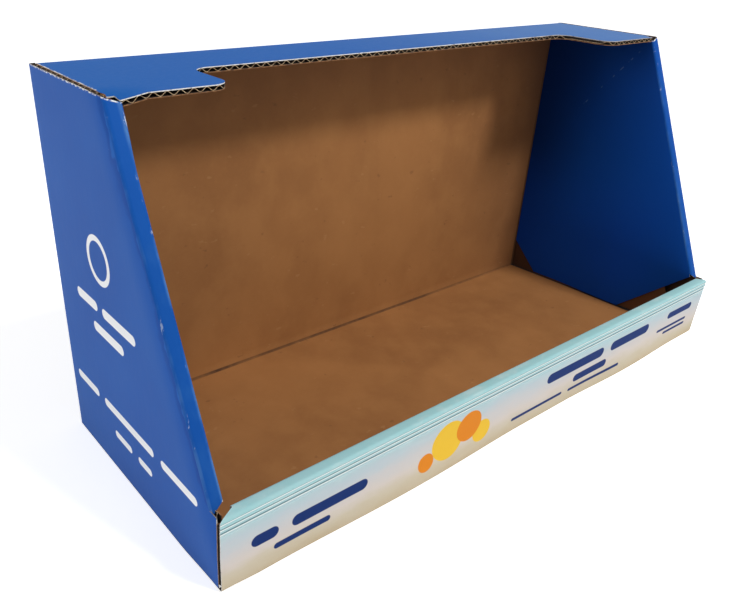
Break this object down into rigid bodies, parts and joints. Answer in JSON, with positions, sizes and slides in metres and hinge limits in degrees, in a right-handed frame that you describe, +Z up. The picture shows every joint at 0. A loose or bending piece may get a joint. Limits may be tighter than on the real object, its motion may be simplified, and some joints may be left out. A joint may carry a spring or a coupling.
{
  "type": "cardboard display box",
  "caption": "Open-front corrugated display box with slanted double side walls, a rolled front lip and a narrow top that is deep at both ends, for showing packed goods on a shelf.",
  "frame": {"origin": "centre of the footprint, on the floor under the base", "axes": "+X to the right along the long front, +Y to the back, +Z up"},
  "size_m": [0.5, 0.1976, 0.25],
  "materials": {
    "printed_board": "matt print outside, plain brown liner inside"
  },
  "bodies": {
    "root": {"display_box": "printed_board"}
  },
  "joints": []
}
